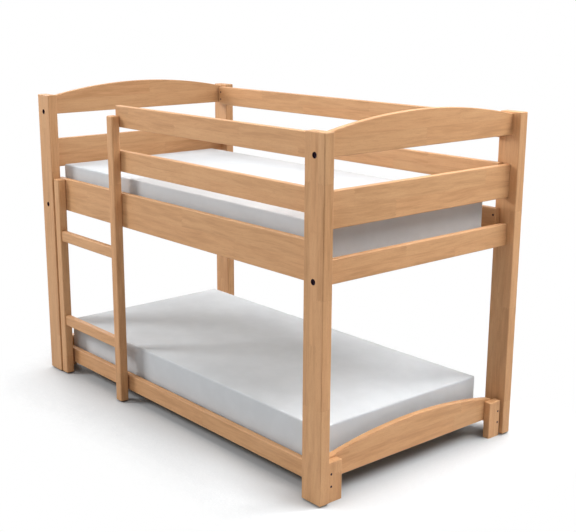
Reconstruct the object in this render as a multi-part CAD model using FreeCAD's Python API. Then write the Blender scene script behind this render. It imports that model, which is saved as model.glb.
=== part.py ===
import FreeCAD, Part
import math
import os

# A low beech bunk bed: a tall frame with a guarded upper bunk, an upright ladder at
# the front left, and a separate low bed that stands on the floor inside the frame.
# Millimetres. X runs along the bed, Y from front to back, Z up from the floor.
# The origin is on the floor at the middle of the frame.

# Mattresses, which the low bed and the frame are sized around
mattress_length = 1890.0
mattress_width = 922.0
mattress_thickness = 154.0
mattress_end_play = 28.0
mattress_side_play = 42.0
mattress_left_gap = 4.0
mattress_corner_radius = 14.0
mattress_edge_radius = 9.0
mattress_crown = 4.0
mattress_crown_reach = 300.0
mattress_side_draw = 3.0
upper_mattress_front_gap = 5.0
lower_mattress_front_gap = 3.0
soft_clearance = 0.3

# Tall frame
post_height = 1400.5
post_width = 105.0
post_thickness = 47.0
post_edge_radius = 4.0
glide_height = 7.5
glide_radius = 16.0
glide_pin_radius = 2.0
glide_pin_length = 16.0
glide_edge_radius = 1.5
board_thickness = 28.0
board_edge_radius = 3.5

# Rails across the two ends, each drop from the tops of the posts to the rail's shoulder
arch_drop = 8.0
arch_end_height = 87.0
arch_rise = 53.0
mid_rail_drop = 216.0
mid_rail_height = 139.0
low_rail_drop = 467.0
low_rail_height = 93.0

# Rails along the two sides, on the inner faces of the posts, with the same kind of drop
side_rail_drop = 405.0
side_rail_height = 157.0
guard_height = 95.0
mid_guard_drop = 212.0
top_guard_drop = 12.0
rail_post_lap = 27.0
guard_stile_lap = 33.0

# Ladder in front of the side rail, beside the front left post
ladder_width = 564.0
ladder_post_gap = 2.0
stile_width = 48.0
stile_depth = 42.0
stile_edge_radius = 7.0
tall_stile_drop = 55.0
rung_height = 54.0
rung_thickness = 28.0
rung_edge_radius = 8.0
lower_rung_bottom = 258.0
upper_rung_drop = 99.0

# Slatted bases
slat_count = 14
slat_width = 70.0
slat_thickness = 18.0
slat_edge_radius = 3.0
slat_side_gap = 2.0
slat_end_margin = 20.0
ledger_depth = 28.0
upper_ledger_height = 28.0
upper_slat_rise = 51.0
lower_ledger_height = 25.0
lower_slat_base = 97.0

# Low bed
low_bed_end_inset = 13.0
low_bed_post_gap = 8.0
low_post_width = 32.0
low_post_depth = 70.0
low_post_height = 163.0
low_side_bottom = 52.0
low_side_height = 75.0
end_board_bottom = 78.0
end_board_end_height = 89.0
end_board_rise = 50.0

# Bed bolts with barrel nuts, through the posts into the end rails
bolt_radius = 4.0
bolt_head_radius = 10.0
bolt_head_height = 8.0
bolt_socket_radius = 4.6
bolt_socket_depth = 4.0
bolt_pocket_radius = 11.5
bolt_pocket_depth = 14.0
bolt_length = 91.0
arch_bolt_edge = 13.0
low_rail_bolt_edge = 21.0
barrel_radius = 5.0
barrel_length = 20.0
barrel_inset = 40.0

# Dowels between the posts and the end rails
dowel_radius = 5.0
dowel_length = 48.0
dowel_rail_edge = 32.0

# Bolts with barrel nuts between the rails and the ladder stiles
ladder_bolt_radius = 3.0
ladder_bolt_head_radius = 6.5
ladder_bolt_head_height = 4.0
ladder_bolt_socket_radius = 2.3
ladder_bolt_socket_depth = 2.5
ladder_bolt_pocket_radius = 7.0
ladder_bolt_pocket_depth = 5.0
ladder_bolt_length = 52.0
ladder_bolt_rail_edge = 36.0
ladder_barrel_radius = 5.0
ladder_barrel_skin = 7.0
ladder_barrel_inset = 20.0
ladder_barrel_recess = 1.0
ladder_barrel_slot_width = 1.4
ladder_barrel_slot_depth = 1.0

# Glued dowels between the stiles and the rungs
rung_dowel_radius = 4.0
rung_dowel_length = 40.0
rung_dowel_spacing = 26.0

# Countersunk wood screws
screw_head_share = 2.0
screw_head_height = 3.0
screw_tip_length = 5.0
screw_socket_share = 0.9
screw_socket_depth = 2.0
frame_screw_radius = 2.5
rail_screw_length = 60.0
rail_screw_edge = 29.0
low_post_screw_length = 80.0
low_post_screw_edge = 12.0
board_screw_length = 45.0
board_screw_height = 126.0
board_screw_spacing = 28.0
slat_screw_radius = 2.0
slat_screw_length = 34.0
slat_screw_inset = 12.0
ledger_screw_length = 44.0
ledger_screw_count = 5

# Clearance of every pin, bolt and screw in its hole
pin_clearance = 0.1

# Places worked out from the sizes above
low_inner_length = mattress_length + mattress_end_play
low_inner_width = mattress_width + mattress_side_play
frame_length = low_inner_length + 2 * (board_thickness + low_post_width + low_bed_end_inset)
frame_width = low_inner_width + 2 * (board_thickness + low_bed_post_gap + post_thickness)
entry_width = ladder_post_gap + ladder_width - guard_stile_lap
half_length = frame_length / 2
half_width = frame_width / 2
post_top = glide_height + post_height
ladder_barrel_length = stile_width - ladder_barrel_recess - ladder_barrel_skin
arch_bottom = post_top - arch_drop - arch_end_height
mid_rail_bottom = post_top - mid_rail_drop - mid_rail_height
low_rail_bottom = post_top - low_rail_drop - low_rail_height
side_rail_top = post_top - side_rail_drop
side_rail_bottom = side_rail_top - side_rail_height
mid_guard_bottom = post_top - mid_guard_drop - guard_height
top_guard_bottom = post_top - top_guard_drop - guard_height
tall_stile_top = post_top - tall_stile_drop
upper_rung_bottom = side_rail_bottom - upper_rung_drop - rung_height
upper_slat_base = side_rail_bottom + upper_slat_rise
end_rail_outer = half_length - (post_width - board_thickness) / 2
end_rail_inner = end_rail_outer - board_thickness
post_inner_y = half_width - post_thickness
side_inner_y = post_inner_y - board_thickness
side_rail_end = half_length - post_width + rail_post_lap
guard_start = -half_length + post_width + entry_width
ladder_start = -half_length + post_width + ladder_post_gap
ladder_end = ladder_start + ladder_width
stile_back = -post_inner_y
stile_front = stile_back - stile_depth
stile_mid_y = (stile_front + stile_back) / 2
low_end = half_length - low_bed_end_inset
low_post_inner = low_end - low_post_width
low_inner_x = low_post_inner - board_thickness
low_outer_y = post_inner_y - low_bed_post_gap
low_inner_y = low_outer_y - board_thickness

ALONG_X = FreeCAD.Vector(1, 0, 0)
ALONG_Y = FreeCAD.Vector(0, 1, 0)
ALONG_Z = FreeCAD.Vector(0, 0, 1)


def block(xa, xb, ya, yb, za, zb):
    """A box between two corners, given in any order."""
    low = FreeCAD.Vector(min(xa, xb), min(ya, yb), min(za, zb))
    return Part.makeBox(abs(xb - xa), abs(yb - ya), abs(zb - za), low)


def edges_along(solid, direction):
    """The straight edges of a solid that run along one direction."""
    found = []
    for edge in solid.Edges:
        if len(edge.Vertexes) < 2:
            continue
        run = edge.Vertexes[1].Point - edge.Vertexes[0].Point
        if abs(run.dot(direction)) > run.Length * math.cos(math.radians(1)):
            found.append(edge)
    return found


def rounded(solid, direction, radius):
    """Round the long edges of a board or a batten."""
    return solid.makeFillet(radius, edges_along(solid, direction))


def turned(outline, head, direction):
    """Turn an outline of (radius, depth) pairs and lay it from its head along a direction."""
    points = [FreeCAD.Vector(radius, 0, depth) for radius, depth in outline]
    face = Part.Face(Part.makePolygon(points + points[:1]))
    solid = face.revolve(FreeCAD.Vector(0, 0, 0), ALONG_Z, 360)
    solid.Placement = FreeCAD.Placement(head, FreeCAD.Rotation(ALONG_Z, direction))
    return solid


def prism(sides, radius, depth, head, direction):
    """A regular prism sunk from a point along a direction, for a hexagon socket."""
    points = []
    for index in range(sides + 1):
        angle = 2 * math.pi * index / sides
        points.append(FreeCAD.Vector(radius * math.cos(angle), radius * math.sin(angle), 0))
    solid = Part.Face(Part.makePolygon(points)).extrude(ALONG_Z * depth)
    solid.Placement = FreeCAD.Placement(head, FreeCAD.Rotation(ALONG_Z, direction))
    return solid


def drilled(piece, holes):
    """Cut the holes that reach a piece, and return its one solid."""
    near = [hole for hole in holes if piece.BoundBox.intersect(hole.BoundBox)]
    if near:
        piece = piece.cut(near)
    return piece.Solids[0]


def screw(head, direction, length, radius):
    """A countersunk screw with a hexagon socket, and the hole that holds it."""
    head_radius = radius * screw_head_share
    tip_start = length - screw_tip_length
    body = turned([(0, 0), (head_radius, 0), (radius, screw_head_height),
                   (radius, tip_start), (0, length)], head, direction)
    socket = prism(6, radius * screw_socket_share, screw_socket_depth, head, direction)
    wide = radius + pin_clearance
    end = length + pin_clearance
    hole = turned([(0, 0), (head_radius + pin_clearance, 0), (wide, screw_head_height),
                   (wide, end), (0, end)], head, direction)
    return body.cut(socket), hole


def bolt(face_point, direction, length, sizes):
    """A socket head bolt sunk in a pocket, and the stepped hole that holds it."""
    radius, head_radius, head_height, socket_radius, socket_depth, pocket_radius, pocket_depth = sizes
    head_top = pocket_depth - head_height
    end = pocket_depth + length
    body = turned([(0, head_top), (head_radius, head_top), (head_radius, pocket_depth),
                   (radius, pocket_depth), (radius, end), (0, end)], face_point, direction)
    socket = prism(6, socket_radius, socket_depth, face_point + direction * head_top, direction)
    wide = radius + pin_clearance
    past = end + pin_clearance
    hole = turned([(0, 0), (pocket_radius, 0), (pocket_radius, pocket_depth),
                   (wide, pocket_depth), (wide, past), (0, past)], face_point, direction)
    return body.cut(socket), hole


def dowel(middle, direction, length, radius):
    """A dowel centred on a joint, and the hole that holds it."""
    start = middle - direction * (length / 2)
    pin = Part.makeCylinder(radius, length, start, direction)
    deep = length + 2 * pin_clearance
    hole = Part.makeCylinder(radius + pin_clearance, deep, start - direction * pin_clearance, direction)
    return pin, hole


def arched_board(x_outer, x_inner, half_span, bottom, end_height, rise):
    """A board across the bed with a flat bottom and a top that rises in one arc."""
    shoulder = bottom + end_height
    low_left = FreeCAD.Vector(x_outer, -half_span, bottom)
    low_right = FreeCAD.Vector(x_outer, half_span, bottom)
    high_right = FreeCAD.Vector(x_outer, half_span, shoulder)
    high_left = FreeCAD.Vector(x_outer, -half_span, shoulder)
    crown = FreeCAD.Vector(x_outer, 0, shoulder + rise)
    outline = Part.Wire([
        Part.LineSegment(low_left, low_right).toShape(),
        Part.LineSegment(low_right, high_right).toShape(),
        Part.Arc(high_right, crown, high_left).toShape(),
        Part.LineSegment(high_left, low_left).toShape(),
    ])
    board = Part.Face(outline).extrude(FreeCAD.Vector(x_inner - x_outer, 0, 0))
    long_edges = [edge for edge in board.Edges
                  if edge.BoundBox.YLength > half_span]
    return board.makeFillet(board_edge_radius, long_edges)


def make_posts(holes):
    """Four tall posts, flat on top, with softened edges."""
    names = {(-1, -1): "front_left_post", (1, -1): "front_right_post",
             (-1, 1): "back_left_post", (1, 1): "back_right_post"}
    posts = {}
    for (side, face), name in names.items():
        solid = block(side * half_length, side * (half_length - post_width),
                      face * half_width, face * post_inner_y, glide_height, post_top)
        top_edges = [edge for edge in solid.Edges if edge.BoundBox.ZMin > post_top - post_edge_radius]
        soft = solid.makeFillet(post_edge_radius, edges_along(solid, ALONG_Z) + top_edges)
        posts[name] = drilled(soft, holes)
    return posts


def make_end_rails(holes):
    """Three rails between the posts at each end: arched, middle and low."""
    rails = {}
    for side, end_name in ((-1, "left"), (1, "right")):
        outer = side * end_rail_outer
        inner = side * end_rail_inner
        arch = arched_board(outer, inner, post_inner_y, arch_bottom, arch_end_height, arch_rise)
        rails[end_name + "_arch_rail"] = drilled(arch, holes)
        for level, bottom, height in (("mid", mid_rail_bottom, mid_rail_height),
                                      ("low", low_rail_bottom, low_rail_height)):
            rail = block(outer, inner, -post_inner_y, post_inner_y, bottom, bottom + height)
            soft = rounded(rail, ALONG_Y, board_edge_radius)
            rails[end_name + "_" + level + "_rail"] = drilled(soft, holes)
    return rails


def make_side_rails(holes):
    """Side rails and guards on the inner faces of the posts; the front guards stop at the ladder."""
    rails = {}
    for face, row in ((-1, "front"), (1, "back")):
        guard_left = guard_start if face < 0 else -side_rail_end
        for name, left, bottom, height in (("side_rail", -side_rail_end, side_rail_bottom, side_rail_height),
                                           ("mid_guard", guard_left, mid_guard_bottom, guard_height),
                                           ("top_guard", guard_left, top_guard_bottom, guard_height)):
            rail = block(left, side_rail_end, face * post_inner_y, face * side_inner_y,
                         bottom, bottom + height)
            rails[row + "_" + name] = drilled(rounded(rail, ALONG_X, board_edge_radius), holes)
    return rails


def make_ladder(holes):
    """Two upright stiles and the two rungs between them."""
    pieces = {}
    for name, left, top in (("ladder_left_stile", ladder_start, side_rail_top),
                            ("ladder_right_stile", ladder_end - stile_width, tall_stile_top)):
        stile = block(left, left + stile_width, stile_front, stile_back, glide_height, top)
        top_edges = [edge for edge in stile.Edges if edge.BoundBox.ZMin > top - stile_edge_radius]
        soft = stile.makeFillet(stile_edge_radius, edges_along(stile, ALONG_Z) + top_edges)
        pieces[name] = drilled(soft, holes)
    for name, bottom in (("lower_rung", lower_rung_bottom), ("upper_rung", upper_rung_bottom)):
        rung = block(ladder_start + stile_width, ladder_end - stile_width,
                     stile_mid_y - rung_thickness / 2, stile_mid_y + rung_thickness / 2,
                     bottom, bottom + rung_height)
        pieces[name] = drilled(rounded(rung, ALONG_X, rung_edge_radius), holes)
    return pieces


def slat_places(reach):
    """Middles of the slats, spread evenly between two ends."""
    first = -reach + slat_end_margin + slat_width / 2
    pitch = -2 * first / (slat_count - 1)
    return [first + pitch * index for index in range(slat_count)]


def slatted_base(reach, inner_y, base, ledger_height):
    """Ledgers, slats and their screws for one bed, between its end boards and side rails."""
    places = slat_places(reach)
    pitch = places[1] - places[0]
    gaps_per_screw = (slat_count - 2) // (ledger_screw_count - 1)
    slat_screws = []
    ledger_screws = []
    holes = []
    for face in (-1, 1):
        for place in places:
            head = FreeCAD.Vector(place, face * (inner_y - slat_side_gap - slat_screw_inset),
                                  base + slat_thickness)
            pin, hole = screw(head, -ALONG_Z, slat_screw_length, slat_screw_radius)
            slat_screws.append(pin)
            holes.append(hole)
        for place in places[:-1:gaps_per_screw]:
            head = FreeCAD.Vector(place + pitch / 2, face * (inner_y - ledger_depth),
                                  base - ledger_height / 2)
            pin, hole = screw(head, ALONG_Y * face, ledger_screw_length, slat_screw_radius)
            ledger_screws.append(pin)
            holes.append(hole)
    ledgers = []
    for face in (-1, 1):
        strip = block(-reach, reach, face * inner_y, face * (inner_y - ledger_depth),
                      base - ledger_height, base)
        ledgers.append(drilled(strip, holes))
    slats = []
    for place in places:
        slat = block(place - slat_width / 2, place + slat_width / 2,
                     -inner_y + slat_side_gap, inner_y - slat_side_gap, base, base + slat_thickness)
        slats.append(drilled(rounded(slat, ALONG_Y, slat_edge_radius), holes))
    return ledgers, slats, slat_screws, ledger_screws, holes


def mattress_outline(inset, height):
    """A rounded rectangle whose sides draw in between the corners, shrunk by an inset."""
    half_x = mattress_length / 2 - inset
    half_y = mattress_width / 2 - inset
    corner = mattress_corner_radius
    bend = corner * (1 - math.sqrt(0.5))
    draw = mattress_side_draw

    def at(x, y):
        return FreeCAD.Vector(x, y, height)

    edges = []
    for sx, sy in ((1, 1), (-1, 1), (-1, -1), (1, -1)):
        end_of_x = at(sx * half_x, sy * (half_y - corner))
        end_of_y = at(sx * (half_x - corner), sy * half_y)
        mid = at(sx * (half_x - bend), sy * (half_y - bend))
        first, last = (end_of_x, end_of_y) if sx * sy > 0 else (end_of_y, end_of_x)
        edges.append(Part.Arc(first, mid, last).toShape())
        if sx * sy > 0:
            side_end = at(-sx * (half_x - corner), sy * half_y)
            side_mid = at(0, sy * (half_y - draw))
        else:
            side_end = at(sx * half_x, -sy * (half_y - corner))
            side_mid = at(sx * (half_x - draw), 0)
        edges.append(Part.Arc(last, side_mid, side_end).toShape())
    return Part.Wire(edges)


def make_mattress(middle_y, bottom):
    """A foam mattress in its cover: soft edges, drawn-in sides and a low crown."""
    turn_degrees = (0, 30, 60, 90)
    crown_shares = (0.3, 0.65, 1.0)
    shoulder = mattress_thickness - mattress_crown
    turns = []
    for degrees in turn_degrees:
        angle = math.radians(degrees)
        turns.append((mattress_edge_radius * (1 - math.sin(angle)),
                      mattress_edge_radius * (1 - math.cos(angle))))
    rings = list(turns)
    for inset, rise in reversed(turns):
        rings.append((inset, shoulder - rise))
    for share in crown_shares:
        lift = mattress_crown * (1 - (1 - share) ** 2)
        rings.append((mattress_edge_radius + mattress_crown_reach * share, shoulder + lift))
    wires = [mattress_outline(inset, height) for inset, height in rings]
    solid = Part.makeLoft(wires, True, True)
    solid.translate(FreeCAD.Vector(mattress_left_gap - mattress_end_play / 2, middle_y, bottom))
    return solid


def make_low_bed(holes):
    """Four short posts, two side rails and two arched end boards of the separate low bed."""
    pieces = {}
    for side, end_name in ((-1, "left"), (1, "right")):
        for face, row in ((-1, "front"), (1, "back")):
            post = block(side * low_end, side * low_post_inner,
                         face * low_outer_y, face * (low_outer_y - low_post_depth), 0, low_post_height)
            top_edges = [edge for edge in post.Edges
                         if edge.BoundBox.ZMin > low_post_height - board_edge_radius]
            soft = post.makeFillet(board_edge_radius, edges_along(post, ALONG_Z) + top_edges)
            pieces["low_" + row + "_" + end_name + "_post"] = drilled(soft, holes)
        board = arched_board(side * low_post_inner, side * low_inner_x, low_inner_y,
                             end_board_bottom, end_board_end_height, end_board_rise)
        pieces["low_" + end_name + "_end_board"] = drilled(board, holes)
    for face, row in ((-1, "front"), (1, "back")):
        rail = block(-low_post_inner, low_post_inner, face * low_outer_y, face * low_inner_y,
                     low_side_bottom, low_side_bottom + low_side_height)
        pieces["low_" + row + "_side_rail"] = drilled(rounded(rail, ALONG_X, board_edge_radius), holes)
    return pieces


def make_end_rail_fixings():
    """Bed bolts, barrel nuts and dowels between the posts and the end rails."""
    sizes = (bolt_radius, bolt_head_radius, bolt_head_height, bolt_socket_radius, bolt_socket_depth,
             bolt_pocket_radius, bolt_pocket_depth)
    bolts = []
    nuts = []
    dowels = []
    holes = []
    for side in (-1, 1):
        middle_x = side * (end_rail_outer + end_rail_inner) / 2
        for face in (-1, 1):
            inward = ALONG_Y * -face
            for level in (arch_bottom + arch_bolt_edge, low_rail_bottom + low_rail_bolt_edge):
                body, hole = bolt(FreeCAD.Vector(middle_x, face * half_width, level), inward,
                                  bolt_length, sizes)
                nut, nut_hole = dowel(FreeCAD.Vector(middle_x, face * (post_inner_y - barrel_inset), level),
                                      ALONG_X, barrel_length, barrel_radius)
                bolts.append(body)
                nuts.append(nut.cut(hole))
                holes.append(hole)
                holes.append(nut_hole)
            arch_level = arch_bottom + arch_end_height - dowel_rail_edge
            low_level = low_rail_bottom + low_rail_height - dowel_rail_edge
            mid_top = mid_rail_bottom + mid_rail_height
            for level in (arch_level, low_level, mid_rail_bottom + dowel_rail_edge,
                          mid_top - dowel_rail_edge):
                pin, hole = dowel(FreeCAD.Vector(middle_x, face * post_inner_y, level),
                                  ALONG_Y, dowel_length, dowel_radius)
                dowels.append(pin)
                holes.append(hole)
    return bolts, nuts, dowels, holes


def make_rail_screws():
    """Screws from the inner faces of the side rails and guards into the posts."""
    screws = []
    holes = []
    lap_middle = side_rail_end - rail_post_lap / 2
    for face in (-1, 1):
        for bottom, height in ((side_rail_bottom, side_rail_height), (mid_guard_bottom, guard_height),
                               (top_guard_bottom, guard_height)):
            for side in (-1, 1):
                if face < 0 and side < 0 and bottom != side_rail_bottom:
                    continue
                for level in (bottom + rail_screw_edge, bottom + height - rail_screw_edge):
                    head = FreeCAD.Vector(side * lap_middle, face * side_inner_y, level)
                    pin, hole = screw(head, ALONG_Y * face, rail_screw_length, frame_screw_radius)
                    screws.append(pin)
                    holes.append(hole)
    return screws, holes


def make_ladder_fixings():
    """Bolts and barrel nuts that hold the stiles, and the glued dowels of the rungs."""
    sizes = (ladder_bolt_radius, ladder_bolt_head_radius, ladder_bolt_head_height,
             ladder_bolt_socket_radius, ladder_bolt_socket_depth,
             ladder_bolt_pocket_radius, ladder_bolt_pocket_depth)
    bolts = []
    nuts = []
    dowels = []
    holes = []
    right_stile_start = ladder_end - stile_width
    side_levels = (side_rail_bottom + ladder_bolt_rail_edge, side_rail_top - ladder_bolt_rail_edge)
    guard_levels = (mid_guard_bottom + guard_height / 2, (top_guard_bottom + tall_stile_top) / 2)
    guard_bolt_x = (guard_start + ladder_end) / 2
    places = [(ladder_start, ladder_start + stile_width / 2, level) for level in side_levels]
    places += [(right_stile_start, ladder_end - stile_width / 2, level) for level in side_levels]
    places += [(right_stile_start, guard_bolt_x, level) for level in guard_levels]
    for nut_face, x, level in places:
        body, hole = bolt(FreeCAD.Vector(x, -side_inner_y, level), -ALONG_Y, ladder_bolt_length, sizes)
        nut_start = FreeCAD.Vector(nut_face, stile_back - ladder_barrel_inset, level)
        nut = Part.makeCylinder(ladder_barrel_radius, ladder_barrel_length,
                                nut_start + ALONG_X * ladder_barrel_recess, ALONG_X)
        nut_hole = Part.makeCylinder(ladder_barrel_radius + pin_clearance,
                                     ladder_barrel_length + ladder_barrel_recess, nut_start, ALONG_X)
        slot_floor = nut_face + ladder_barrel_recess + ladder_barrel_slot_depth
        slot = block(nut_face, slot_floor,
                     nut_start.y - ladder_barrel_radius, nut_start.y + ladder_barrel_radius,
                     level - ladder_barrel_slot_width / 2, level + ladder_barrel_slot_width / 2)
        bolts.append(body)
        nuts.append(nut.cut([hole, slot]))
        holes.append(hole)
        holes.append(nut_hole)
    for bottom in (lower_rung_bottom, upper_rung_bottom):
        level = bottom + rung_height / 2
        for outer, inward in ((ladder_start, ALONG_X), (ladder_end, -ALONG_X)):
            shoulder = FreeCAD.Vector(outer, stile_mid_y, level) + inward * stile_width
            for step in (-1, 1):
                joint = shoulder + ALONG_Z * (step * rung_dowel_spacing / 2)
                pin, hole = dowel(joint, ALONG_X, rung_dowel_length, rung_dowel_radius)
                dowels.append(pin)
                holes.append(hole)
    return bolts, nuts, dowels, holes


def make_low_bed_screws():
    """Screws through the short posts into the rails, and through the end boards into the posts."""
    post_screws = []
    board_screws = []
    holes = []
    for side in (-1, 1):
        for face in (-1, 1):
            rail_y = face * (low_outer_y + low_inner_y) / 2
            top = low_side_bottom + low_side_height
            for level in (low_side_bottom + low_post_screw_edge, top - low_post_screw_edge):
                pin, hole = screw(FreeCAD.Vector(side * low_end, rail_y, level), ALONG_X * -side,
                                  low_post_screw_length, frame_screw_radius)
                post_screws.append(pin)
                holes.append(hole)
            lap_y = face * (low_inner_y + low_outer_y - low_post_depth) / 2
            for step in (-1, 1):
                level = board_screw_height + step * board_screw_spacing / 2
                pin, hole = screw(FreeCAD.Vector(side * low_inner_x, lap_y, level), ALONG_X * side,
                                  board_screw_length, frame_screw_radius)
                board_screws.append(pin)
                holes.append(hole)
    return post_screws, board_screws, holes


def make_glides():
    """Nail-on plastic glides under the posts and the ladder stiles."""
    spots = []
    for side in (-1, 1):
        for face in (-1, 1):
            spots.append((side * (half_length - post_width / 2), face * (half_width - post_thickness / 2)))
    spots.append((ladder_start + stile_width / 2, stile_mid_y))
    spots.append((ladder_end - stile_width / 2, stile_mid_y))
    glides = []
    holes = []
    for x, y in spots:
        foot = FreeCAD.Vector(x, y, 0)
        disc = Part.makeCylinder(glide_radius, glide_height, foot, ALONG_Z)
        rim = [edge for edge in disc.Edges
               if edge.BoundBox.ZMax < glide_edge_radius and edge.BoundBox.XLength > glide_radius]
        disc = disc.makeFillet(glide_edge_radius, rim)
        seat = foot + ALONG_Z * glide_height
        pin = Part.makeCylinder(glide_pin_radius, glide_pin_length, seat, ALONG_Z)
        glides.append(disc.fuse(pin).removeSplitter())
        holes.append(Part.makeCylinder(glide_pin_radius + pin_clearance, glide_pin_length + pin_clearance,
                                       seat, ALONG_Z))
    return glides, holes


def build():
    """Every node of the bunk bed, by name."""
    bolts, nuts, dowels, end_holes = make_end_rail_fixings()
    rail_screws, rail_holes = make_rail_screws()
    ladder_bolts, ladder_nuts, rung_dowels, ladder_holes = make_ladder_fixings()
    glides, glide_holes = make_glides()
    upper = slatted_base(end_rail_inner, side_inner_y, upper_slat_base, upper_ledger_height)
    lower = slatted_base(low_inner_x, low_inner_y, lower_slat_base, lower_ledger_height)
    post_screws, board_screws, low_holes = make_low_bed_screws()

    frame_holes = end_holes + rail_holes + ladder_holes + glide_holes + upper[4]
    nodes = {}
    nodes.update(make_posts(frame_holes))
    nodes.update(make_end_rails(frame_holes))
    nodes.update(make_side_rails(frame_holes))
    nodes.update(make_ladder(frame_holes))
    nodes.update(make_low_bed(low_holes + lower[4]))
    for level, base in (("upper", upper), ("lower", lower)):
        ledgers, slats, slat_screws, ledger_screws, _ = base
        nodes[level + "_front_ledger"] = ledgers[0]
        nodes[level + "_back_ledger"] = ledgers[1]
        nodes[level + "_slats"] = Part.makeCompound(slats)
        nodes[level + "_slat_screws"] = Part.makeCompound(slat_screws)
        nodes[level + "_ledger_screws"] = Part.makeCompound(ledger_screws)
    upper_middle = -side_inner_y + upper_mattress_front_gap + mattress_width / 2
    lower_middle = -low_inner_y + lower_mattress_front_gap + mattress_width / 2
    nodes["upper_mattress"] = make_mattress(upper_middle, upper_slat_base + slat_thickness + soft_clearance)
    nodes["lower_mattress"] = make_mattress(lower_middle, lower_slat_base + slat_thickness + soft_clearance)
    nodes["frame_bolts"] = Part.makeCompound(bolts)
    nodes["frame_barrel_nuts"] = Part.makeCompound(nuts)
    nodes["end_rail_dowels"] = Part.makeCompound(dowels)
    nodes["rail_screws"] = Part.makeCompound(rail_screws)
    nodes["ladder_bolts"] = Part.makeCompound(ladder_bolts)
    nodes["ladder_barrel_nuts"] = Part.makeCompound(ladder_nuts)
    nodes["rung_dowels"] = Part.makeCompound(rung_dowels)
    nodes["floor_glides"] = Part.makeCompound(glides)
    nodes["low_post_screws"] = Part.makeCompound(post_screws)
    nodes["end_board_screws"] = Part.makeCompound(board_screws)
    return nodes


def export(nodes):
    """Write one STEP file for each node."""
    os.makedirs("parts", exist_ok=True)
    for name, shape in nodes.items():
        shape.exportStep(os.path.join("parts", name + ".step"))
        print(name, len(shape.Solids), "solids", round(shape.Volume))


export(build())
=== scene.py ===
import math
from collections import namedtuple
from itertools import product

import bmesh
import bpy
from mathutils import Matrix, Vector, noise


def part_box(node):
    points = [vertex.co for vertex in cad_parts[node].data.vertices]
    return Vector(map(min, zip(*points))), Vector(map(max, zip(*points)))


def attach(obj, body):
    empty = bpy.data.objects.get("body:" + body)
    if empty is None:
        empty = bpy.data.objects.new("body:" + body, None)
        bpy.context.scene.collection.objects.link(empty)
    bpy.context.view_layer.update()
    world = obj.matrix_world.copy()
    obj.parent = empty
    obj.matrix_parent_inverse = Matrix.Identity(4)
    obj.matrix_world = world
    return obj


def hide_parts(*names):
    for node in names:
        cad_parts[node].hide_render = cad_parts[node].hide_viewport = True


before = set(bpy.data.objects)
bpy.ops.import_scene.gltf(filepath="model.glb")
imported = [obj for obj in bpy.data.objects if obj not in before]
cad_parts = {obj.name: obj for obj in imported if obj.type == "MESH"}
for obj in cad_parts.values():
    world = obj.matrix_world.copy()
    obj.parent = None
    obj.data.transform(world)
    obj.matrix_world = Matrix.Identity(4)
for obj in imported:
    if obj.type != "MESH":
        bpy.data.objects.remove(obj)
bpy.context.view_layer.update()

# Camera, in the row's frame: metres and degrees, and millimetres for the lens and its sensor
CAMERA_PLACE = Vector((3.6659, -3.0176, 1.8394))
CAMERA_YAW = 140.487
CAMERA_PITCH = -14.195
CAMERA_ROLL = -0.045
CAMERA_LENS = 65.58
CAMERA_SENSOR = 36.0
CAMERA_SHIFT = (0.0452, 0.0040)

# Background: the level at which it lights the object, and the level at which it is seen
WORLD_LEVEL = 0.27
WHITE = 1.0

# Floor, in metres. It is open where no piece is within reach: from deepest to shallow shadow its colour is
# painted, turning from a painted shade to its own colour, and from the start to the end of the fade it turns
# into the white backdrop. What it throws back on the object is its bounce.
FLOOR_HALF_WIDTH = 14.0
FLOOR_COLOUR = (0.705, 0.725, 0.742, 1.0)
FLOOR_PAINTED_SHADE = (0.450, 0.466, 0.480, 1.0)
FLOOR_BOUNCE = (0.47, 0.47, 0.47, 1.0)
SHADOW_REACH = 0.50
SHADOW_SAMPLES = 16
SHADOW_DEEPEST = 0.42
SHADOW_SHALLOW = 0.84
SHADOW_FADE_START = 0.85
SHADOW_FADE_END = 0.968

# Oiled beech and the paler slats, as linear colours. The left posts and end rails and the back's side rail
# and guards look darker because they lie in half-light, so the far tone darkens their wood as painted shade.
BEECH_LIGHT = (0.644, 0.366, 0.183, 1.0)
BEECH_MID = (0.590, 0.322, 0.154, 1.0)
BEECH_DARK = (0.476, 0.246, 0.108, 1.0)
BEECH_LINE = (0.290, 0.140, 0.062, 1.0)
SLAT_LIGHT = (0.74, 0.56, 0.36, 1.0)
SLAT_MID = (0.69, 0.50, 0.31, 1.0)
SLAT_DARK = (0.58, 0.38, 0.21, 1.0)
HUE_WARM = (1.012, 0.992, 0.975, 1.0)
HUE_COOL = (0.988, 1.006, 1.010, 1.0)
# The far tone is painted shade for the boards in half-light
SHADE_PAINT_TONE = 0.93

# Where the dark, middle and light wood stand on the ramp of tones
STOP_DARK = 0.05
STOP_MID = 0.50
STOP_LIGHT = 0.95

# How much of the tone each mark in the wood makes up, and how strongly the others cover it
FIGURE_SHARE = 0.42
STREAK_SHARE = 0.30
STAVE_SHARE = 0.28
DASH_STRENGTH = 0.40
FLECK_STRENGTH = 0.30
JOINT_STRENGTH = 0.30
GLUE_STRENGTH = 0.12
END_GRAIN_STRENGTH = 0.30

# The wood's satin finish. The depths are in metres, and the heights of small marks are shares of PORE_DEPTH.
WOOD_ROUGHNESS = 0.50
STREAK_SMOOTHER = 0.05
STREAK_ROUGHER = 0.06
FLECK_ROUGHER = 0.25
FIBRE_HEIGHT = 0.2
FLECK_HEIGHT = 1.6
LINE_HEIGHT = 1.2
PORE_DEPTH = 0.00010
STREAK_DEPTH = 0.0004

# Staves, in metres. The fingers zigzag where two staves meet end to end, and a line shows in full up to its
# core and ends at its edge.
FINGER_PITCH = 0.0062
FINGER_LENGTH = 0.009
STAVE_OVERRUN = 0.0015
JOINT_CORE, JOINT_EDGE = 0.0002, 0.0008
GLUE_CORE, GLUE_EDGE = 0.0001, 0.0006

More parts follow.
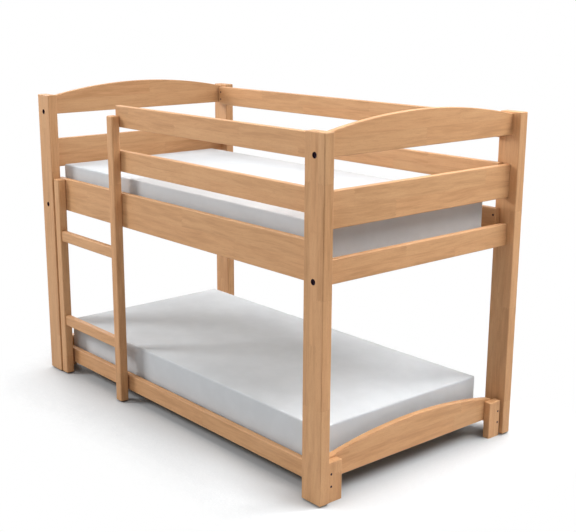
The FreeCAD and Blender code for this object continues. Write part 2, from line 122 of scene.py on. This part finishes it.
# The tree that the staves come from, in metres: how far apart they were in it, how far its grain wanders
# aside, and in how many waves per metre. The start keeps every place along the grain above zero.
TREE_DEPTH = 3.0
TREE_WIDTH = 5.0
GRAIN_WANDER = 0.030
WANDER_WAVES_ALONG = 3.0
WANDER_WAVES_ACROSS = 6.0
GRAIN_START = 10.0

# Numbers that keep a stave's random draws apart
START_DRAW = 3.5
TONE_DRAW = 0.5
TURN_DRAW = 7.5

# Marks of the grain: their typical length and width in metres, and the detail and roughness of their noise
Mark = namedtuple("Mark", "length width detail roughness")
FIGURE = Mark(0.240, 0.022, 2.0, 0.5)
STREAK = Mark(0.105, 0.0075, 3.0, 0.6)
DASH = Mark(0.034, 0.0026, 1.0, 0.5)
FLECK = Mark(0.0050, 0.0008, 1.0, 0.5)
FIBRE = Mark(0.030, 0.0005, 1.0, 0.5)

# How each kind of wooden piece is cut: the axes along its grain and across its staves, the number of staves
# side by side, their length in metres, and the seed of the first piece of the kind
Cut = namedtuple("Cut", "grain wide staves length seed")
TALL_POST = Cut("z", "x", 3, 0.42, 3)
SHORT_POST = Cut("z", "y", 2, 0.30, 13)
END_RAIL = Cut("y", "z", 2, 0.74, 23)
END_BOARD = Cut("y", "z", 2, 0.66, 33)
SIDE_BOARD = Cut("x", "z", 2, 0.78, 43)
LOW_SIDE_RAIL = Cut("x", "z", 1, 0.70, 53)
STILE = Cut("z", "x", 1, 0.90, 61)
RUNG = Cut("x", "z", 1, 0.80, 67)
SLATS = Cut("y", "x", 20, 1.30, 71)
LEDGER = Cut("x", "z", 1, 1.10, 75)
END_RAIL_DOWELS = Cut("y", "x", 40, 0.40, 79)
RUNG_DOWELS = Cut("x", "z", 9, 0.40, 81)
ROWS = ("front", "back")
ENDS = ("left", "right")

# Bolt pockets with painted shade on their walls, in metres: on the posts' centre lines, at the lowest and the
# highest bolts. Their radius is the one in the part's source, and the painted shade ends just past their
# rims.
post_low, post_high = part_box("front_right_post")
bolts_low, bolts_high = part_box("frame_bolts")
POCKET_ACROSS = (post_low.x + post_high.x) / 2
BOLT_HEAD_RADIUS = bolts_high.x - POCKET_ACROSS
POCKET_HEIGHTS = (bolts_low.z + BOLT_HEAD_RADIUS, bolts_high.z - BOLT_HEAD_RADIUS)
POCKET_RADIUS = 0.0115
POCKET_SHADE_CORE = POCKET_RADIUS + 0.0001
POCKET_SHADE_EDGE = POCKET_RADIUS + 0.0006
# The near-black painted shade inside the bolt pockets
POCKET_SHADE_COLOUR = (0.020, 0.004, 0.016, 1.0)

# Blackened zinc and dark plastic
ZINC_DARK = (0.016, 0.004, 0.014, 1.0)
ZINC_PALE = (0.030, 0.012, 0.026, 1.0)
ZINC_WORN = (0.11, 0.09, 0.10, 1.0)
PLASTIC_DARK = (0.022, 0.019, 0.018, 1.0)
PLASTIC_SCUFFED = (0.060, 0.055, 0.052, 1.0)

# The mattresses' cover: its colours, and its knit and seam in metres; the heights are shares of KNIT_DEPTH
COVER_COLOUR = (0.588, 0.613, 0.638, 1.0)
COVER_SHADE = (0.563, 0.588, 0.612, 1.0)
KNIT_COLOUR = (0.56, 0.56, 0.57, 1.0)
KNIT_STRENGTH = 0.022
SEAM_COLOUR = (0.42, 0.42, 0.43, 1.0)
RIB_PITCH = 0.0013
COURSE_PITCH = 0.8 * RIB_PITCH
SEAM_RISE = 0.016
SEAM_CORE, SEAM_EDGE = 0.0004, 0.0016
STITCH_PITCH = 0.0028
KNIT_HEIGHT = 0.25
FUZZ_HEIGHT = 0.6
KNIT_DEPTH = 0.00022
SEAM_DEPTH = 0.0008

# The mattresses' form, in metres
MATTRESS_ROUNDING = 0.007
ROUNDING_STEPS = 3
MATTRESS_CELL = 0.024
MATTRESS_SHRINK = 0.0015
MATTRESS_CAP = 0.004
MATTRESS_CROWN = 0.004
MATTRESS_DRAW = 0.003
MATTRESS_UNEVENNESS = 0.0010

# How steeply the draw fades from the sides inwards, the uneven cover's waves per metre, and how steeply they
# rise from the edges
DRAW_POWER = 15
UNEVEN_WAVES = Vector((5.5, 7.5, 9))
UNEVEN_RISE = 6

# Cloth that swells the mattresses, in Blender's units
CLOTH_PRESSURE = 4.0
CLOTH_TENSION = 30
CLOTH_COMPRESSION = 12
CLOTH_BENDING = 2.5
CLOTH_STEPS = 20

# Edges that turn by less than this, in degrees, are shaded smooth
SMOOTH_ANGLE = 30


class Nodes:
    """Short ways to add shader nodes to one tree."""

    def __init__(self, tree):
        self.tree = tree

    def add(self, kind, inputs=(), **settings):
        made = self.tree.nodes.new(kind)
        for key, value in settings.items():
            setattr(made, key, value)
        self.fill(made, dict(inputs))
        return made

    def fill(self, node, inputs):
        """Set or link a node's inputs, by their names or numbers."""
        for socket, value in inputs.items():
            self.put(node.inputs[socket], value)

    def put(self, socket, value):
        if isinstance(value, bpy.types.NodeSocket):
            self.tree.links.new(value, socket)
        else:
            socket.default_value = value

    def math(self, operation, *values):
        return self.add("ShaderNodeMath", dict(enumerate(values)), operation=operation).outputs[0]

    def vector(self, x, y, z):
        return self.add("ShaderNodeCombineXYZ", {"X": x, "Y": y, "Z": z}).outputs[0]

    def noise(self, vector, scale=1.0, detail=2.0, roughness=0.5, distortion=0.0):
        made = self.add("ShaderNodeTexNoise", {"Vector": vector, "Scale": scale, "Detail": detail,
                                               "Roughness": roughness, "Distortion": distortion})
        return made.outputs["Fac"]

    def random(self, x, y, z):
        made = self.add("ShaderNodeTexWhiteNoise", {"Vector": self.vector(x, y, z)}, noise_dimensions="3D")
        return made.outputs["Value"]

    def remap(self, value, low, high, to_low=0.0, to_high=1.0):
        made = self.add("ShaderNodeMapRange", {"Value": value, "From Min": low, "From Max": high,
                                               "To Min": to_low, "To Max": to_high})
        made.interpolation_type = "SMOOTHSTEP"
        return made.outputs["Result"]

    def near(self, distance, core, edge):
        """1 up to the core, 0 from the edge on."""
        return self.remap(distance, core, edge, 1.0, 0.0)

    def mix(self, factor, first, second, blend="MIX"):
        """A mix of two colours, by the numbers of the Mix node's sockets for colours."""
        made = self.add("ShaderNodeMix", {0: factor, 6: first, 7: second}, data_type="RGBA", blend_type=blend)
        return made.outputs[2]

    def bump(self, height, distance, strength=1.0, normal=None):
        made = self.add("ShaderNodeBump", {"Height": height, "Distance": distance, "Strength": strength})
        if normal is not None:
            self.put(made.inputs["Normal"], normal)
        return made.outputs["Normal"]


def new_material(name):
    """An empty node material with one principled shader."""
    made = bpy.data.materials.new(name)
    made.use_nodes = True
    shader = made.node_tree.nodes["Principled BSDF"]
    return made, Nodes(made.node_tree), shader


def stave_pattern(n, along, across, cut, edge, stave_width, seed):
    """Two random shares that differ from stave to stave, and the lines between staves."""
    stave = n.math("DIVIDE", n.math("SUBTRACT", across, edge), stave_width)
    row = n.math("FLOOR", stave)
    start = n.math("MULTIPLY", n.random(row, seed, START_DRAW), cut.length)
    finger = n.math("PINGPONG", n.math("DIVIDE", across, FINGER_PITCH), 1.0)
    zigzag = n.math("MULTIPLY", finger, FINGER_LENGTH)
    run = n.math("ADD", n.math("ADD", along, start), n.math("ADD", zigzag, GRAIN_START))
    piece = n.math("DIVIDE", run, cut.length)
    column = n.math("FLOOR", piece)
    tone = n.random(row, column, seed + TONE_DRAW)
    turn = n.random(column, row, seed + TURN_DRAW)

    # A ping-pong of a half is the distance to the nearest whole number, where a line is
    joint = n.math("MULTIPLY", n.math("PINGPONG", piece, 0.5), cut.length)
    glue = n.math("MULTIPLY", n.math("PINGPONG", stave, 0.5), stave_width)
    joint_line = n.math("MULTIPLY", n.near(joint, JOINT_CORE, JOINT_EDGE), JOINT_STRENGTH)
    glue_line = n.math("MULTIPLY", n.near(glue, GLUE_CORE, GLUE_EDGE), GLUE_STRENGTH)
    return tone, turn, n.math("MAXIMUM", joint_line, glue_line)


def pocket_painted_shade(n, x, z):
    """Painted shade in the bolt pockets: 1 on their walls, 0 beyond their rims."""
    aside = n.math("SUBTRACT", n.math("ABSOLUTE", x), POCKET_ACROSS)
    reaches = []
    for height in POCKET_HEIGHTS:
        rise = n.math("SUBTRACT", z, height)
        reaches.append(n.math("ADD", n.math("MULTIPLY", aside, aside), n.math("MULTIPLY", rise, rise)))
    reach = n.math("SQRT", n.math("MINIMUM", *reaches))
    return n.near(reach, POCKET_SHADE_CORE, POCKET_SHADE_EDGE)


def wood(name, cut, edge, stave_width, colours, seed):
    """Finger-jointed staves of one width, the first of them starting at edge."""
    made, n, shader = new_material(name)
    light, mid, dark, line_colour = colours
    where = n.add("ShaderNodeTexCoord").outputs
    split = n.add("ShaderNodeSeparateXYZ", {"Vector": where["Object"]}).outputs
    axes = {"x": split[0], "y": split[1], "z": split[2]}
    along = axes[cut.grain]
    across = axes[cut.wide]
    through = axes[({"x", "y", "z"} - {cut.grain, cut.wide}).pop()]
    tone, turn, line = stave_pattern(n, along, across, cut, edge, stave_width, seed)

    # Every stave is cut from another place in the tree
    deep = n.math("ADD", through, n.math("MULTIPLY", tone, TREE_DEPTH))
    offset = n.math("ADD", across, n.math("MULTIPLY", turn, TREE_WIDTH))
    slow_place = n.vector(n.math("MULTIPLY", along, WANDER_WAVES_ALONG),
                          n.math("MULTIPLY", offset, WANDER_WAVES_ACROSS), deep)
    wander = n.noise(slow_place, detail=1.0)
    offset = n.math("ADD", offset, n.math("MULTIPLY", wander, GRAIN_WANDER))

    def grained(mark):
        """Noise drawn out along the grain."""
        place = n.vector(n.math("DIVIDE", along, mark.length), n.math("DIVIDE", offset, mark.width),
                         n.math("DIVIDE", deep, mark.width))
        return n.noise(place, detail=mark.detail, roughness=mark.roughness)

    figure, streak, dash, fleck, fibre = map(grained, (FIGURE, STREAK, DASH, FLECK, FIBRE))

    # The tone of the wood: its broad figure, its streaks and the difference between staves
    shade = n.math("MULTIPLY", n.remap(figure, low=0.28, high=0.72), FIGURE_SHARE)
    shade = n.math("ADD", shade, n.math("MULTIPLY", n.remap(streak, low=0.30, high=0.70), STREAK_SHARE))
    shade = n.math("ADD", shade, n.math("MULTIPLY", tone, STAVE_SHARE))
    ramp = n.add("ShaderNodeValToRGB", {"Fac": shade})
    stops = ramp.color_ramp.elements
    stops[0].position = STOP_DARK
    stops[0].color = dark
    stops[1].position = STOP_LIGHT
    stops[1].color = light
    stops.new(STOP_MID).color = mid
    hue = n.mix(turn, HUE_WARM, HUE_COOL)
    colour = n.mix(1.0, ramp.outputs["Color"], hue, "MULTIPLY")

    # Dashes, flecks and the lines between staves lie over it
    dash_mask = n.math("MULTIPLY", n.remap(dash, low=0.58, high=0.72), DASH_STRENGTH)
    colour = n.mix(dash_mask, colour, dark)
    fleck_mask = n.math("MULTIPLY", n.remap(fleck, low=0.60, high=0.70), FLECK_STRENGTH)
    colour = n.mix(fleck_mask, colour, line_colour)
    colour = n.mix(line, colour, line_colour)

    # End grain is a little darker, and the walls of the bolt pockets get painted shade
    facing = n.add("ShaderNodeSeparateXYZ", {"Vector": where["Normal"]}).outputs["xyz".index(cut.grain)]
    end = n.remap(n.math("ABSOLUTE", facing), low=0.80, high=0.97)
    colour = n.mix(n.math("MULTIPLY", end, END_GRAIN_STRENGTH), colour, dark)
    colour = n.mix(pocket_painted_shade(n, axes["x"], axes["z"]), colour, POCKET_SHADE_COLOUR)

    rough = n.remap(streak, low=0.2, high=0.8, to_low=WOOD_ROUGHNESS - STREAK_SMOOTHER,
                    to_high=WOOD_ROUGHNESS + STREAK_ROUGHER)
    rough = n.math("ADD", rough, n.math("MULTIPLY", fleck_mask, FLECK_ROUGHER))
    pores = n.math("SUBTRACT", n.math("MULTIPLY", fibre, FIBRE_HEIGHT),
                   n.math("MULTIPLY", fleck_mask, FLECK_HEIGHT))
    pores = n.math("SUBTRACT", pores, n.math("MULTIPLY", line, LINE_HEIGHT))
    normal = n.bump(pores, PORE_DEPTH, strength=0.5)
    normal = n.bump(streak, STREAK_DEPTH, strength=0.25, normal=normal)
    n.fill(shader, {"Base Color": colour, "Roughness": rough, "Specular IOR Level": 0.30,
                    "Coat Weight": 0.04, "Coat Roughness": 0.35, "Normal": normal})
    return made


def dark_zinc(name):
    """Blackened zinc on bolts and screws, with a little wear."""
    made, n, shader = new_material(name)
    point = n.add("ShaderNodeTexCoord").outputs["Object"]
    mottle = n.noise(point, scale=900.0, detail=4.0, roughness=0.6)
    wear = n.noise(point, scale=2600.0, detail=2.0, roughness=0.6)
    colour = n.mix(n.remap(mottle, low=0.3, high=0.7), ZINC_DARK, ZINC_PALE)
    colour = n.mix(n.remap(wear, low=0.68, high=0.82), colour, ZINC_WORN)
    rough = n.remap(mottle, low=0.2, high=0.8, to_low=0.46, to_high=0.68)
    normal = n.bump(wear, distance=0.00005, strength=0.5)
    n.fill(shader, {"Base Color": colour, "Metallic": 0.15, "Specular IOR Level": 0.30, "Roughness": rough,
                    "Normal": normal})
    return made


def glide_plastic(name):
    """Dark moulded plastic with a fine spark-eroded grain and scuffs."""
    made, n, shader = new_material(name)
    point = n.add("ShaderNodeTexCoord").outputs["Object"]
    pebble = n.noise(point, scale=1600.0, detail=2.0, roughness=0.5)
    scuff = n.noise(point, scale=240.0, detail=5.0, roughness=0.7, distortion=0.6)
    colour = n.mix(n.remap(scuff, low=0.52, high=0.72), PLASTIC_DARK, PLASTIC_SCUFFED)
    rough = n.remap(scuff, low=0.3, high=0.7, to_low=0.52, to_high=0.74)
    normal = n.bump(pebble, distance=0.00012, strength=0.6)
    n.fill(shader, {"Base Color": colour, "Roughness": rough, "Normal": normal})
    return made


def mattress_cover(name, bottom):
    """White knitted cover: fine ribs of stitches, a faint mottle, and a stitched seam low on the sides."""
    made, n, shader = new_material(name)
    where = n.add("ShaderNodeTexCoord").outputs
    split = n.add("ShaderNodeSeparateXYZ", {"Vector": where["Object"]}).outputs
    x, y, z = split[0], split[1], split[2]
    lean = n.add("ShaderNodeSeparateXYZ", {"Vector": where["Normal"]}).outputs
    flat = n.remap(n.math("ABSOLUTE", lean[2]), low=0.55, high=0.85)
    upright = n.math("SUBTRACT", 1.0, flat)

    # Ribs run one way and courses the other: over the top by x and y, down the sides by z
    side_run = n.math("ADD", x, y)
    rib = n.math("SINE", n.math("MULTIPLY", side_run, 2 * math.pi / RIB_PITCH))
    course_run = n.math("ADD", n.math("MULTIPLY", n.math("SUBTRACT", x, y), flat),
                        n.math("MULTIPLY", z, upright))
    course = n.math("SINE", n.math("MULTIPLY", course_run, 2 * math.pi / COURSE_PITCH))
    knit = n.math("MULTIPLY", n.math("ADD", rib, 1.0), n.math("ADD", course, 1.0))
    fuzz = n.noise(where["Object"], scale=900.0, detail=3.0, roughness=0.6)
    mottle = n.noise(where["Object"], scale=11.0, detail=3.0, roughness=0.55)

    over_seam = n.math("ABSOLUTE", n.math("SUBTRACT", z, bottom + SEAM_RISE))
    seam = n.math("MULTIPLY", n.near(over_seam, SEAM_CORE, SEAM_EDGE), upright)
    stitch = n.math("PINGPONG", n.math("DIVIDE", side_run, STITCH_PITCH), 1.0)
    colour = n.mix(n.remap(mottle, low=0.35, high=0.70), COVER_SHADE, COVER_COLOUR)
    colour = n.mix(n.math("MULTIPLY", knit, KNIT_STRENGTH), colour, KNIT_COLOUR)
    seam_mask = n.math("MULTIPLY", seam, n.remap(stitch, low=0.2, high=0.8, to_low=0.10, to_high=0.22))
    colour = n.mix(seam_mask, colour, SEAM_COLOUR)
    rough = n.remap(fuzz, low=0.3, high=0.7, to_low=0.84, to_high=0.96)
    height = n.math("ADD", n.math("MULTIPLY", knit, KNIT_HEIGHT), n.math("MULTIPLY", fuzz, FUZZ_HEIGHT))
    normal = n.bump(height, KNIT_DEPTH, strength=0.5)
    normal = n.bump(n.math("SUBTRACT", 1.0, seam), SEAM_DEPTH, strength=0.6, normal=normal)
    n.fill(shader, {"Base Color": colour, "Roughness": rough, "Specular IOR Level": 0.22,
                    "Sheen Weight": 0.06, "Sheen Roughness": 0.5, "Normal": normal})
    return made


def paint(names, material):
    """Give CAD nodes a material."""
    for name in names:
        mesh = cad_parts[name].data
        mesh.materials.clear()
        mesh.materials.append(material)


def stations(low, high):
    """Places of grid lines along one side: close together over the rounded ends, even between."""
    # An edge turns through a right angle, and each of its two sides takes half of that
    turns = [math.radians(45 * (1 - step / ROUNDING_STEPS)) for step in range(ROUNDING_STEPS + 1)]
    ends = [MATTRESS_ROUNDING * (1 - math.tan(turn)) for turn in turns]
    run = high - low - 2 * MATTRESS_ROUNDING
    count = max(2, round(run / MATTRESS_CELL))
    middle = [low + MATTRESS_ROUNDING + run * step / count for step in range(1, count)]
    return [low + end for end in ends] + middle + [high - end for end in reversed(ends)]


def rounded_block(low, high):
    """A closed block of even quads, round at every edge and corner."""
    lines = [stations(low[axis], high[axis]) for axis in range(3)]
    last = [len(line) - 1 for line in lines]
    inner_low = low + Vector((1, 1, 1)) * MATTRESS_ROUNDING
    inner_high = high - Vector((1, 1, 1)) * MATTRESS_ROUNDING
    form = bmesh.new()
    made = {}

    def corner(key):
        if key not in made:
            place = Vector([lines[axis][key[axis]] for axis in range(3)])
            core = Vector([min(max(place[axis], inner_low[axis]), inner_high[axis]) for axis in range(3)])
            made[key] = form.verts.new(core + (place - core).normalized() * MATTRESS_ROUNDING)
        return made[key]

    for axis in range(3):
        across, along = (axis + 1) % 3, (axis + 2) % 3
        for level in (0, last[axis]):
            for i in range(last[across]):
                for j in range(last[along]):
                    ring = []
                    for step_i, step_j in ((0, 0), (1, 0), (1, 1), (0, 1)):
                        key = [0, 0, 0]
                        key[axis], key[across], key[along] = level, i + step_i, j + step_j
                        ring.append(corner(tuple(key)))
                    form.faces.new(ring if level else ring[::-1])
    mesh = bpy.data.meshes.new("block")
    form.to_mesh(mesh)
    form.free()
    return mesh


def apply_modifiers(piece):
    """Bake a piece's modifiers into its mesh."""
    ready = piece.evaluated_get(bpy.context.evaluated_depsgraph_get())
    mesh = bpy.data.meshes.new_from_object(ready)
    piece.modifiers.clear()
    piece.data = mesh


def inflate(piece):
    """Blow a closed mesh up as cloth, with no gravity, and cap how far a point may move."""
    start = [v.co.copy() for v in piece.data.vertices]
    cloth = piece.modifiers.new("cloth", "CLOTH").settings
    cloth.use_pressure = True
    cloth.uniform_pressure_force = CLOTH_PRESSURE
    cloth.effector_weights.gravity = 0
    cloth.tension_stiffness = CLOTH_TENSION
    cloth.compression_stiffness = CLOTH_COMPRESSION
    cloth.bending_stiffness = CLOTH_BENDING
    for step in range(1, CLOTH_STEPS + 1):
        bpy.context.scene.frame_set(step)
    apply_modifiers(piece)
    bpy.context.scene.frame_set(1)
    for v, old in zip(piece.data.vertices, start):
        move = v.co - old
        if move.length > MATTRESS_CAP:
            v.co = old + move.normalized() * MATTRESS_CAP


def draw_in(mesh, low, high):
    """Sides that draw in between the corners, a low crown, a slightly uneven cover, a flat base."""
    middle = (low + high) / 2
    half = (high - low) / 2
    for v in mesh.vertices:
        share_x = max(-1, min(1, (v.co.x - middle.x) / half.x))
        share_y = max(-1, min(1, (v.co.y - middle.y) / half.y))
        share_z = (v.co.z - middle.z) / half.z
        v.co.x -= MATTRESS_DRAW * (1 - share_y ** 2) * share_x ** DRAW_POWER
        v.co.y -= MATTRESS_DRAW * (1 - share_x ** 2) * share_y ** DRAW_POWER
        if share_z > 0:
            room = (1 - share_x ** 2) * (1 - share_y ** 2)
            wave = noise.noise(Vector((v.co.x, v.co.y, middle.z)) * UNEVEN_WAVES)
            rise = MATTRESS_UNEVENNESS * wave * min(1, UNEVEN_RISE * room)
            v.co.z += (MATTRESS_CROWN * room + rise) * share_z
        v.co.z = max(low.z, v.co.z)


def make_mattress(node, body):
    """A foam mattress in a knitted cover, in place of its CAD solid."""
    low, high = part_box(node)
    inset = Vector((1, 1, 0)) * MATTRESS_SHRINK
    shoulder = high - Vector((0, 0, MATTRESS_CROWN))
    mesh = rounded_block(low + inset, shoulder - inset)
    piece = bpy.data.objects.new(node + "_cover", mesh)
    bpy.context.scene.collection.objects.link(piece)
    inflate(piece)
    finer = piece.modifiers.new("finer", "SUBSURF")
    finer.levels = 1
    finer.render_levels = 1
    apply_modifiers(piece)
    draw_in(piece.data, low, shoulder)
    piece.data.shade_smooth()
    piece.data.materials.append(mattress_cover(node + "_knit", low.z))
    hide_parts(node)
    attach(piece, body)


def dress_wood(name, cut, colours, number=0):
    """A wooden node in staves of equal width from edge to edge; its number sets it apart from its like."""
    low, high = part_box(name)
    axis = "xyz".index(cut.wide)
    edge = low[axis] - STAVE_OVERRUN
    stave_width = (high[axis] - low[axis] + 2 * STAVE_OVERRUN) / cut.staves
    paint([name], wood("wood_" + name, cut, edge, stave_width, colours, cut.seed + number))


def darkened(colours, tone):
    """The same colours, each a little darker."""
    return tuple((red * tone, green * tone, blue * tone, 1.0) for red, green, blue, _ in colours)


def dress_nodes():
    """A material for every CAD node but the mattresses, which the padded pieces replace."""
    beech = (BEECH_LIGHT, BEECH_MID, BEECH_DARK, BEECH_LINE)
    # Painted shade: the wood of the left posts, left end rails and back boards is darkened
    shade_painted_beech = darkened(beech, SHADE_PAINT_TONE)
    pale = (SLAT_LIGHT, SLAT_MID, SLAT_DARK, BEECH_LINE)
    for number, (row, end) in enumerate(product(ROWS, ENDS)):
        dress_wood(f"{row}_{end}_post", TALL_POST, shade_painted_beech if end == "left" else beech, number)
        dress_wood(f"low_{row}_{end}_post", SHORT_POST, beech, number)
    for number, (end, level) in enumerate(product(ENDS, ("arch", "mid", "low"))):
        dress_wood(f"{end}_{level}_rail", END_RAIL, shade_painted_beech if end == "left" else beech, number)
    for number, (row, board) in enumerate(product(ROWS, ("side_rail", "mid_guard", "top_guard"))):
        dress_wood(f"{row}_{board}", SIDE_BOARD, shade_painted_beech if row == "back" else beech, number)
    for number, end in enumerate(ENDS):
        dress_wood(f"low_{end}_end_board", END_BOARD, beech, number)
        dress_wood(f"ladder_{end}_stile", STILE, beech, number)
    for number, row in enumerate(ROWS):
        dress_wood(f"low_{row}_side_rail", LOW_SIDE_RAIL, beech, number)
    for number, level in enumerate(("lower", "upper")):
        dress_wood(f"{level}_rung", RUNG, beech, number)
        dress_wood(f"{level}_slats", SLATS, pale, number)
        for row in ROWS:
            dress_wood(f"{level}_{row}_ledger", LEDGER, pale, number)
    dress_wood("end_rail_dowels", END_RAIL_DOWELS, pale)
    dress_wood("rung_dowels", RUNG_DOWELS, pale)
    fasteners = [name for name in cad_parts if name.endswith(("_bolts", "_nuts", "_screws"))]
    paint(fasteners, dark_zinc("dark_zinc"))
    paint(["floor_glides"], glide_plastic("glide_plastic"))


def make_camera():
    """The camera where the photograph was taken from."""
    data = bpy.data.cameras.new("camera")
    data.sensor_width = CAMERA_SENSOR
    data.lens = CAMERA_LENS
    data.shift_x, data.shift_y = CAMERA_SHIFT
    camera = bpy.data.objects.new("camera", data)
    bpy.context.scene.collection.objects.link(camera)
    yaw = math.radians(CAMERA_YAW)
    pitch = math.radians(CAMERA_PITCH)
    forward = Vector((math.cos(pitch) * math.cos(yaw), math.cos(pitch) * math.sin(yaw), math.sin(pitch)))
    right = Vector((math.sin(yaw), -math.cos(yaw), 0))
    turn = Matrix((right, right.cross(forward), -forward)).transposed()
    camera.matrix_world = (Matrix.Translation(CAMERA_PLACE) @ turn.to_4x4()
                           @ Matrix.Rotation(math.radians(CAMERA_ROLL), 4, "Z"))
    bpy.context.scene.camera = camera


def seen_rays(n):
    """1 for rays that show the background, 0 for rays that carry light."""
    rays = n.add("ShaderNodeLightPath").outputs
    seen = n.math("MAXIMUM", rays["Is Camera Ray"], rays["Is Glossy Ray"])
    return n.math("MAXIMUM", seen, rays["Is Transmission Ray"])


def make_world():
    """A white background that lights the object softly from all round."""
    world = bpy.data.worlds.new("studio")
    bpy.context.scene.world = world
    world.use_nodes = True
    n = Nodes(world.node_tree)
    shown = world.node_tree.nodes["Background"]
    shown.inputs["Color"].default_value = (1, 1, 1, 1)
    brighter = n.math("MULTIPLY", seen_rays(n), WHITE - WORLD_LEVEL)
    n.put(shown.inputs["Strength"], n.math("ADD", brighter, WORLD_LEVEL))


def make_lamp(name, place, target, size, power, spread=180):
    """A soft rectangular lamp that looks at a point, in metres, watts and degrees."""
    data = bpy.data.lights.new(name, "AREA")
    data.shape = "RECTANGLE"
    data.size, data.size_y = size
    data.energy = power
    data.spread = math.radians(spread)
    lamp = bpy.data.objects.new(name, data)
    bpy.context.scene.collection.objects.link(lamp)
    lamp.location = place
    lamp.rotation_euler = (Vector(target) - Vector(place)).to_track_quat("-Z", "Y").to_euler()


def make_floor():
    """A pale floor that is white to the eye and keeps the object's shadow, with painted shade near the
    pieces.
    """
    mesh = bpy.data.meshes.new("floor")
    half = FLOOR_HALF_WIDTH
    corners = [(-half, -half, 0), (half, -half, 0), (half, half, 0), (-half, half, 0)]
    mesh.from_pydata(corners, [], [(0, 1, 2, 3)])
    made, n, shader = new_material("floor")
    cover = n.add("ShaderNodeAmbientOcclusion", {"Distance": SHADOW_REACH}, samples=SHADOW_SAMPLES)
    openness = cover.outputs["AO"]
    # Painted shade: the seen colour darkens where pieces cover the floor's sky
    seen_colour_with_painted_shade = n.mix(n.remap(openness, SHADOW_DEEPEST, SHADOW_SHALLOW), FLOOR_PAINTED_SHADE, FLOOR_COLOUR)
    near_colour = n.mix(seen_rays(n), FLOOR_BOUNCE, seen_colour_with_painted_shade)
    n.fill(shader, {"Base Color": near_colour, "Roughness": 1.0, "Specular IOR Level": 0.0})
    glow_strength = n.math("MULTIPLY", seen_rays(n), WHITE)
    glow = n.add("ShaderNodeEmission", {"Color": (1, 1, 1, 1), "Strength": glow_strength})
    fade = n.math("MULTIPLY", n.remap(openness, SHADOW_FADE_START, SHADOW_FADE_END), seen_rays(n))
    blend = n.add("ShaderNodeMixShader", {0: fade, 1: shader.outputs[0], 2: glow.outputs[0]})
    n.put(made.node_tree.nodes["Material Output"].inputs["Surface"], blend.outputs[0])
    mesh.materials.append(made)
    floor = bpy.data.objects.new("floor", mesh)
    bpy.context.scene.collection.objects.link(floor)


def make_lights():
    """Overhead light, two lamps high at the right-hand end, and broad softer ones all round."""
    make_lamp("overhead", place=(0.0, 0.0, 4.6), target=(0, 0, 0), size=(4.2, 3.2), power=108)
    make_lamp("high_back_right", place=(2.4, 2.4, 4.2), target=(1.0, -0.3, 0.3), size=(1.6, 1.6), power=29,
              spread=80)
    make_lamp("high_right", place=(3.6, 1.1, 3.8), target=(1.4, 0.0, 0.3), size=(1.6, 1.6), power=13,
              spread=60)
    make_lamp("high_front_left", place=(-4.9, -5.1, 4.8), target=(0, 0, 0.5), size=(2.3, 2.3), power=355)
    make_lamp("high_front", place=(0.6, -4.0, 3.6), target=(0, 0, 0.5), size=(2.4, 1.8), power=28)
    make_lamp("left", place=(-4.6, 0.0, 2.0), target=(0, 0, 0.8), size=(2.0, 2.0), power=116)
    make_lamp("back", place=(0.5, 4.6, 2.5), target=(0, 0, 0.7), size=(2.5, 2.0), power=76)


def smooth_nodes():
    """Even shading on the rounded edges of every CAD node, sharp only at real edges."""
    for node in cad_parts.values():
        node.data.shade_smooth()
        node.data.set_sharp_from_angle(angle=math.radians(SMOOTH_ANGLE))


bpy.context.scene.view_settings.view_transform = "Standard"
dress_nodes()
smooth_nodes()
make_mattress("upper_mattress", "upper_mattress")
make_mattress("lower_mattress", "lower_mattress")
make_camera()
make_world()
make_floor()
make_lights()
